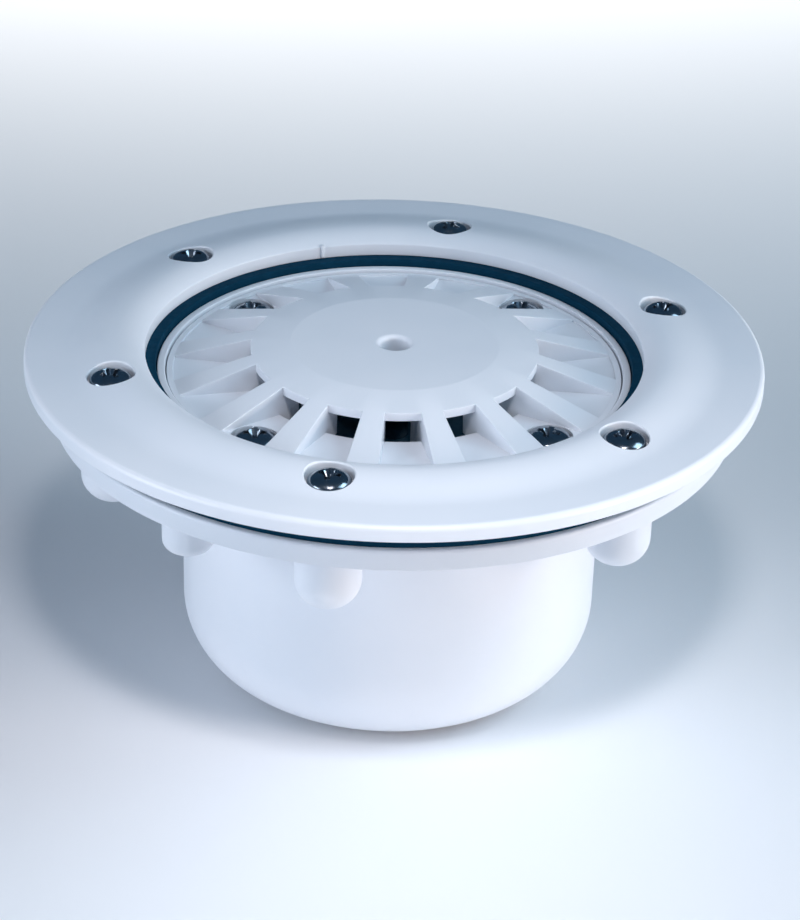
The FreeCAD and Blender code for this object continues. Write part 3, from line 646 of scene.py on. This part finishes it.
class INLET_OT_clamping_flange(bpy.types.Operator):
    """Make the clamping flange with its raised lip and softened recesses"""

    bl_idname = "inlet.clamping_flange"
    bl_label = "Clamping flange"
    bl_options = {"REGISTER", "UNDO"}

    def execute(self, context):
        size = context.scene.inlet_ring
        screws = context.scene.inlet_screws
        lip = lip_outline(size)
        mesh = lathe(rounded([
            (size.opening, size.underside, size.lower_round),
            (size.radius, size.underside, size.lower_round),
            (size.radius, size.top, size.edge_round),
        ] + lip), 192)
        hole = screws.shank + screws.play
        outline = [(0.0, size.underside - 0.001), (hole, size.underside - 0.001), (hole, size.recess_floor),
                   (size.recess_radius, size.recess_floor)]
        flare_foot = size.lip_height + 0.001
        for step in range(6):
            turn = math.radians(66.0) * step / 5
            outline.append((size.recess_radius + size.recess_round * (1 - math.cos(turn)),
                            flare_foot - size.recess_round * (1 - math.sin(turn))))
        wide = size.recess_radius + size.recess_round
        outline += [(wide, flare_foot + size.recess_round), (0.0, flare_foot + size.recess_round)]
        cutter = spread(lathe(outline, 64), screws.circle, screws.phase, screws.number)
        for vertex in cutter.verts:
            if vertex.co.z > size.recess_floor + 1e-5:
                vertex.co.z += height_on(lip, vertex.co.xy.length) - flare_foot
        mesh = combine(mesh, cutter, "DIFFERENCE")
        pip = bmesh.new()
        bmesh.ops.create_cube(pip, size=1.0)
        low = size.underside + 0.0004
        high = size.lip_height - size.lip_nose + 0.0006
        deep = 2 * size.pip_width
        bmesh.ops.scale(pip, verts=pip.verts, vec=(deep, size.pip_width, high - low))
        soften(pip, size.pip_width * 0.25, lambda edge: True, 3)
        reach = size.opening - size.pip_reach + deep / 2
        bmesh.ops.translate(pip, verts=pip.verts, vec=(0, 0, (low + high) / 2))
        mesh = combine(mesh, spread(pip, reach, size.pip_phase, 1), "UNION")
        add_piece("clamping_ring", mesh, ["clamping_flange"], "white_abs")
        return {"FINISHED"}


class INLET_OT_diffuser(bpy.types.Operator):
    """Make the diffuser: cap, hub, posts and ribs with a pocket between each two"""

    bl_idname = "inlet.diffuser"
    bl_label = "Diffuser"
    bl_options = {"REGISTER", "UNDO"}

    def sections(self, size):
        """Half sections of the plate, of the cap and of the rib between them."""
        cap_rim = size.seat + size.cap_rise
        cap_under = cap_rim - size.cap_thickness
        edge_top = size.seat + size.edge_height
        edge_in = size.radius - size.edge_margin
        slope = (cap_rim - edge_top) / (edge_in - size.cap_radius)
        pocket_top = (size.pocket_end, edge_top + slope * (edge_in - size.pocket_end))
        pocket_foot = (size.pocket_end, size.seat + size.pocket_rise)
        throat_top = (size.throat_radius, size.seat + size.throat_rise)
        throat_foot = (size.throat_radius, size.seat)
        rim_top, rim_under = (size.cap_radius, cap_rim), (size.cap_radius, cap_under)
        foot_top, foot = (size.rib_foot, cap_under), (size.rib_foot, size.seat)
        plate = [throat_foot, (size.radius, size.seat), (size.radius, edge_top), (edge_in, edge_top),
                 pocket_top, pocket_foot, throat_top]
        inner = rounded([
            (size.plateau_radius, size.plateau_top),
            (size.eye_radius, size.plateau_top, size.eye_round),
            (size.eye_radius, size.bore_top),
            (size.hub_bore, size.bore_top),
            (size.hub_bore, size.hub_end),
            (size.hub_radius, size.hub_end),
            (size.hub_radius, cap_under),
        ])
        cap = [foot_top, rim_under, rim_top] + [tuple(point) for point in inner]
        web = [foot_top, rim_under, rim_top, pocket_top, pocket_foot, throat_top, throat_foot, foot]
        return plate, cap, web

    def unit(self, size):
        """One rib and the pocket beside it, open where the next unit follows."""
        rib = math.tau / size.rib_count - size.pocket_angle
        mesh = bmesh.new()
        corners = {}
        faces = []
        for section in self.sections(size):
            for point in section:
                if point not in corners:
                    corners[point] = mesh.verts.new((point[0], 0.0, point[1]))
            faces.append(mesh.faces.new([corners[point] for point in section]))
        start = Matrix.Rotation(-rib / 2, 3, "Z")
        bmesh.ops.rotate(mesh, verts=mesh.verts, cent=(0, 0, 0), matrix=start)
        turn = {"axis": (0, 0, 1), "cent": (0, 0, 0)}
        last = bmesh.ops.spin(mesh, geom=mesh.verts[:] + mesh.edges[:] + faces, angle=rib, steps=4, **turn)
        web_corners = len(faces[2].verts)
        ends = [item for item in last["geom_last"] if isinstance(item, bmesh.types.BMFace)]
        ends = [face for face in ends if len(face.verts) != web_corners]
        moved = {item for face in ends for item in face.verts[:] + face.edges[:]}
        last = bmesh.ops.spin(mesh, geom=list(moved) + ends, angle=size.pocket_angle, steps=6, **turn)
        ends = [item for item in last["geom_last"] if isinstance(item, bmesh.types.BMFace)]
        bmesh.ops.delete(mesh, geom=ends + faces[:2], context="FACES_ONLY")
        return mesh

    def execute(self, context):
        size = context.scene.inlet_diffuser
        screws = context.scene.inlet_screws
        cap_under = size.seat + size.cap_rise - size.cap_thickness
        mesh = spread(self.unit(size), 0.0, math.pi / size.rib_count, size.rib_count)
        bmesh.ops.remove_doubles(mesh, verts=mesh.verts, dist=1e-6)
        bmesh.ops.recalc_face_normals(mesh, faces=mesh.faces)
        soften(mesh, size.edge_round, lambda edge: (
            edge.is_manifold and edge.is_convex and edge.calc_face_angle() > 0.7
            and min(vertex.co.xy.length for vertex in edge.verts) > size.plateau_radius))
        post_end = size.post_end
        post = lathe(rounded([
            (0.0, post_end),
            (size.post_radius, post_end, size.post_radius / 4),
            (size.post_radius, cap_under + size.post_radius / 4),
            (0.0, cap_under + size.post_radius / 4),
        ]), 32)
        mesh = combine(mesh, spread(post, size.post_circle, size.post_phase, size.post_count), "UNION")
        hole = screws.pin_shank + screws.play
        past = size.plateau_top
        recess = lathe([(0.0, size.seat - hole), (hole, size.seat - hole), (hole, size.recess_floor),
                        (size.recess_radius, size.recess_floor), (size.recess_radius, past), (0.0, past)], 48)
        inner = (screws.pin_circle, screws.pin_phase, screws.pin_number)
        mesh = combine(mesh, spread(recess, *inner), "DIFFERENCE")
        stud_end = size.hub_end + size.stud_depth
        below = size.hub_end - size.stud_radius
        stud = lathe([(0.0, below), (size.stud_radius, below),
                      (size.stud_radius, stud_end), (0.0, stud_end)], 24)
        mesh = combine(mesh, spread(stud, size.stud_circle, size.post_phase, 2), "DIFFERENCE")
        piece = add_piece("diffuser_cap", mesh, ["diffuser_plate"], "white_abs")
        for edge in piece.data.edges:
            ends = [piece.data.vertices[index].co.xy.length for index in edge.vertices]
            if max(abs(end - size.plateau_radius) for end in ends) < 1e-5:
                edge.use_edge_sharp = True
        return {"FINISHED"}


class INLET_OT_screws(bpy.types.Operator):
    """Make the pan head screws of the clamping flange and of the diffuser"""

    bl_idname = "inlet.screws"
    bl_label = "Screws"
    bl_options = {"REGISTER", "UNDO"}

    def drive(self, reach, width, depth, top):
        """Tapered bar, one half of a cross recess, with its mouth at a height."""
        mesh = bmesh.new()
        bmesh.ops.create_cube(mesh, size=1.0)
        lower = [vertex for vertex in mesh.verts if vertex.co.z < 0]
        upper = [vertex for vertex in mesh.verts if vertex.co.z > 0]
        bmesh.ops.scale(mesh, verts=upper, vec=(2.9 * reach, 1.25 * width, 2 * depth))
        bmesh.ops.scale(mesh, verts=lower, vec=(1.1 * reach, 0.75 * width, 2 * depth))
        bmesh.ops.translate(mesh, verts=mesh.verts, vec=(0, 0, top))
        return mesh

    def screw(self, size, low, high, shank, shank_length, head):
        """One screw about the Z axis between two heights."""
        seat = low + shank_length
        height = high - seat
        point = shank / 4
        rim = height * size.head_rim
        dome = [(head * math.cos(turn), seat + rim + (height - rim) * math.sin(turn))
                for turn in map(math.radians, range(0, 90, 6))]
        mesh = lathe(rounded([
            (0.0, low),
            (shank - point, low),
            (shank, low + point),
            (shank, seat),
            (head, seat, height * 0.06),
        ] + dome + [(0.0, high)]), 72)
        reach = head * size.cross_reach
        width = head * size.cross_width
        depth = height * size.cross_depth
        for quarter in (0.0, math.pi / 2):
            bar = self.drive(reach, width, depth, high)
            turned = Matrix.Rotation(quarter, 3, "Z")
            bmesh.ops.rotate(bar, verts=bar.verts, cent=(0, 0, 0), matrix=turned)
            mesh = combine(mesh, bar, "DIFFERENCE")
        well = lathe([(0.0, high - depth * 1.12), (width * 0.5, high - depth), (reach * 0.62, high),
                      (reach * 0.70, high + depth), (0.0, high + depth)], 24)
        mesh = combine(mesh, well, "DIFFERENCE")
        bmesh.ops.dissolve_limit(mesh, angle_limit=0.02, verts=mesh.verts, edges=mesh.edges)
        mouth = high - depth / 2
        soften(mesh, size.cross_round, lambda edge: (
            edge.is_manifold and edge.is_convex and edge.calc_face_angle() > 0.6
            and min(vertex.co.z for vertex in edge.verts) > mouth
            and max(vertex.co.xy.length for vertex in edge.verts) < head * 0.75))
        return mesh

    def execute(self, context):
        size = context.scene.inlet_screws
        kinds = (
            ("flange_screw", "flange_pan_heads", SCREW_LOW.z, SCREW_HIGH.z, size.shank, size.shank_length,
             size.head, (size.circle, size.phase, size.number)),
            ("diffuser_screw", "diffuser_pan_heads", PIN_LOW.z, PIN_HIGH.z, size.pin_shank,
             size.pin_shank_length, size.pin_head, (size.pin_circle, size.pin_phase, size.pin_number)),
        )
        for node_stem, name, low, high, shank, shank_length, head, place in kinds:
            mesh = spread(self.screw(size, low, high, shank, shank_length, head), *place, size.turn)
            nodes = [f"{node_stem}_{index + 1}" for index in range(place[2])]
            add_piece(name, mesh, nodes, "stainless_steel", crease=38.0)
        return {"FINISHED"}


class INLET_OT_regulator(bpy.types.Operator):
    """Give the throttle disc, spindle, washer, small screws and inserts their materials"""

    bl_idname = "inlet.regulator"
    bl_label = "Flow regulator and inserts"
    bl_options = {"REGISTER", "UNDO"}

    def execute(self, context):
        finishes = {"throttle_disc": "black_acetal", "throttle_spindle": "stainless_steel",
                    "spindle_retainer": "black_acetal", "retainer_screw": "stainless_steel",
                    "flange_insert": "insert_brass", "diffuser_insert": "insert_brass"}
        for stem, finish in finishes.items():
            for name, piece in frame["nodes"].items():
                if name.startswith(stem):
                    piece.data.materials.clear()
                    piece.data.materials.append(finish_of(finish))
        return {"FINISHED"}


class INLET_OT_stage(bpy.types.Operator):
    """Set up the floor, the lights and the camera"""

    bl_idname = "inlet.stage"
    bl_label = "Stage"
    bl_options = {"REGISTER", "UNDO"}

    def lamp(self, name, place, aim, size, spread, power, tint):
        """Square area light that faces a point and isn't in the picture itself."""
        light = bpy.data.lights.new(name, "AREA")
        light.shape = "SQUARE"
        light.size = size
        light.spread = math.radians(spread)
        light.energy = power
        light.color = tint
        made = bpy.data.objects.new(name, light)
        made.location = place
        made.rotation_euler = (Vector(aim) - Vector(place)).to_track_quat("-Z", "Y").to_euler()
        made.visible_camera = False
        bpy.context.scene.collection.objects.link(made)

    def execute(self, context):
        size = context.scene.inlet_stage
        mesh = bmesh.new()
        bmesh.ops.create_grid(mesh, x_segments=8, y_segments=8, size=4.0)
        floor = as_object("floor", mesh)
        made, tree, shader, place = material("floor_paint", roughness=0.6)
        tint = blend(tree, noise(tree, place, 3.0, 3.0), (0.83, 0.84, 0.86), (0.80, 0.81, 0.83))
        tree.links.new(tint, shader.inputs["Base Color"])
        floor.data.materials.append(made)

        centre = (0.0, 0.0, 0.06)
        self.lamp("left", (-1.0, -0.35, 0.35), centre, 0.6, 70.0, size.left, (0.81, 0.89, 1.0))
        self.lamp("right", (0.95, -0.45, 0.22), centre, 0.42, 70.0, size.right, (1.0, 0.88, 0.82))
        self.lamp("high", (1.0, -0.1, 0.8), centre, 0.8, 120.0, size.high, (0.59, 0.83, 1.0))
        self.lamp("front", (0.0, -0.5, 0.85), (0.0, -0.17, 0.06), 0.12, 34.0, size.front, (0.99, 0.97, 1.0))
        self.lamp("far", (0.0, 0.75, 1.2), (0.0, 1.3, 0.0), 0.8, 90.0, size.far, (1.0, 0.96, 0.92))
        world = bpy.data.worlds.new("surround")
        world.use_nodes = True
        back = world.node_tree.nodes["Background"]
        back.inputs["Color"].default_value = (0.25, 0.58, 1.0, 1.0)
        back.inputs["Strength"].default_value = size.surround
        context.scene.world = world
        context.scene.view_settings.view_transform = "Standard"

        camera = bpy.data.cameras.new("camera")
        camera.lens = size.lens
        camera.sensor_width = 36.0
        camera.clip_start = 0.01
        eye = bpy.data.objects.new("camera", camera)
        reach, azimuth = size.camera_reach, size.camera_azimuth
        eye.location = (reach * math.cos(azimuth), reach * math.sin(azimuth), size.camera_height)
        sight = Vector((0.00215, -0.00015, 0.05693)) - eye.location
        look = sight.to_track_quat("-Z", "Y").to_matrix() @ Matrix.Rotation(size.camera_roll, 3, "Z")
        eye.rotation_euler = look.to_euler()
        context.scene.collection.objects.link(eye)
        context.scene.camera = eye
        return {"FINISHED"}


# Panel and registration

GROUPS = {
    "inlet_body": InletBodySizes,
    "inlet_gaskets": InletGasketSizes,
    "inlet_ring": InletRingSizes,
    "inlet_diffuser": InletDiffuserSizes,
    "inlet_screws": InletScrewSizes,
    "inlet_finish": InletFinish,
    "inlet_stage": InletStage,
}
OPERATORS = (
    INLET_OT_body,
    INLET_OT_gaskets,
    INLET_OT_clamping_flange,
    INLET_OT_diffuser,
    INLET_OT_screws,
    INLET_OT_regulator,
    INLET_OT_stage,
)


class INLET_PT_sidebar(bpy.types.Panel):
    """Buttons and sizes of the floor inlet"""

    bl_idname = "INLET_PT_sidebar"
    bl_label = "Floor inlet"
    bl_space_type = "VIEW_3D"
    bl_region_type = "UI"
    bl_category = "Floor inlet"

    def draw(self, context):
        layout = self.layout
        for operator in OPERATORS:
            layout.operator(operator.bl_idname)
        for name, group in GROUPS.items():
            box = layout.box()
            box.label(text=group.__doc__)
            for field in group.__annotations__:
                box.prop(getattr(context.scene, name), field)


def register():
    """Register the property groups, the operators and the panel."""
    for name, group in GROUPS.items():
        bpy.utils.register_class(group)
        setattr(bpy.types.Scene, name, bpy.props.PointerProperty(type=group))
    for operator in OPERATORS:
        bpy.utils.register_class(operator)
    bpy.utils.register_class(INLET_PT_sidebar)


def unregister():
    """Remove what register() added."""
    bpy.utils.unregister_class(INLET_PT_sidebar)
    for operator in reversed(OPERATORS):
        bpy.utils.unregister_class(operator)
    for name, group in GROUPS.items():
        delattr(bpy.types.Scene, name)
        bpy.utils.unregister_class(group)


def main():
    """Make every piece and the stage."""
    register()
    bpy.ops.inlet.stage()
    bpy.ops.inlet.body()
    bpy.ops.inlet.gaskets()
    bpy.ops.inlet.clamping_flange()
    bpy.ops.inlet.diffuser()
    bpy.ops.inlet.screws()
    bpy.ops.inlet.regulator()


if __name__ == "__main__":
    main()
